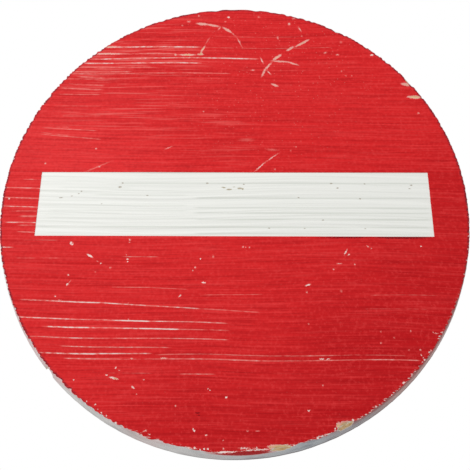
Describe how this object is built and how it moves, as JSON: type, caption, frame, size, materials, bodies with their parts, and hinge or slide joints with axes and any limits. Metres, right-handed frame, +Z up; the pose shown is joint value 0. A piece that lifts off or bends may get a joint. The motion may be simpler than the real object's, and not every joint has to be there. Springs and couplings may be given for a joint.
{
  "type": "no entry sign",
  "caption": "Round wooden wall sign with a brushed raised grain, a worn red printed face, a white bar across the middle and a keyhole slot in the back.",
  "frame": {"origin": "centre of the flat back, on the wall", "axes": "+Z up, +Y into the wall out of the back, -Y out of the red face, +X to the right as seen from the front"},
  "size_m": [0.3919, 0.0193, 0.392],
  "materials": {
    "white_board": "brushed solid wood with a worn white paint, bare tan wood at the chips",
    "red_print": "satin red print over raised grain, scratched through to white"
  },
  "bodies": {
    "root": {"board": "white_board", "red_print": "red_print"}
  },
  "joints": []
}
